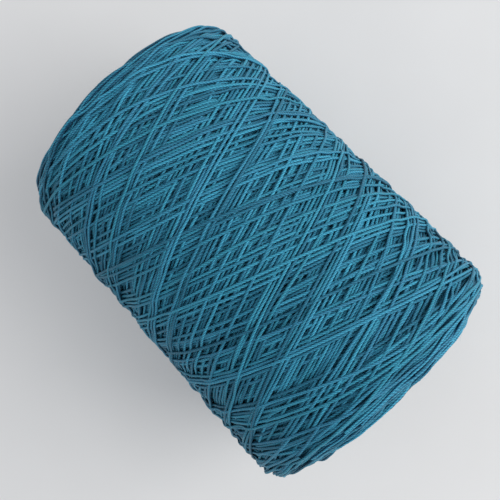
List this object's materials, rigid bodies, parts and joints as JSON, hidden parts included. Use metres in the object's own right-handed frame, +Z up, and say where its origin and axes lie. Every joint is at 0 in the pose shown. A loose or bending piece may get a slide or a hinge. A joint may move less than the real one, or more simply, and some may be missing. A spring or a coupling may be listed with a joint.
{
  "type": "yarn cone",
  "caption": "Cross-wound cone of yarn on a hollow tapered paper cone, lying on its side, for feeding knitting and weaving machines.",
  "frame": {"origin": "on the surface the cone lies on, under the centre of its box", "axes": "+X along the length towards the cone's nose, +Y across, +Z up; the cone's own axis points 2 degrees below +X"},
  "size_m": [0.1718, 0.1204, 0.1198],
  "materials": {
    "paper": "matt spirally rolled paper with a smooth rolled nose",
    "yarn": "matt plied teal yarn, cross-wound in visible strands"
  },
  "bodies": {
    "root": {"paper_cone": "paper", "yarn_winding": "yarn", "transfer_tail": "yarn"}
  },
  "joints": []
}
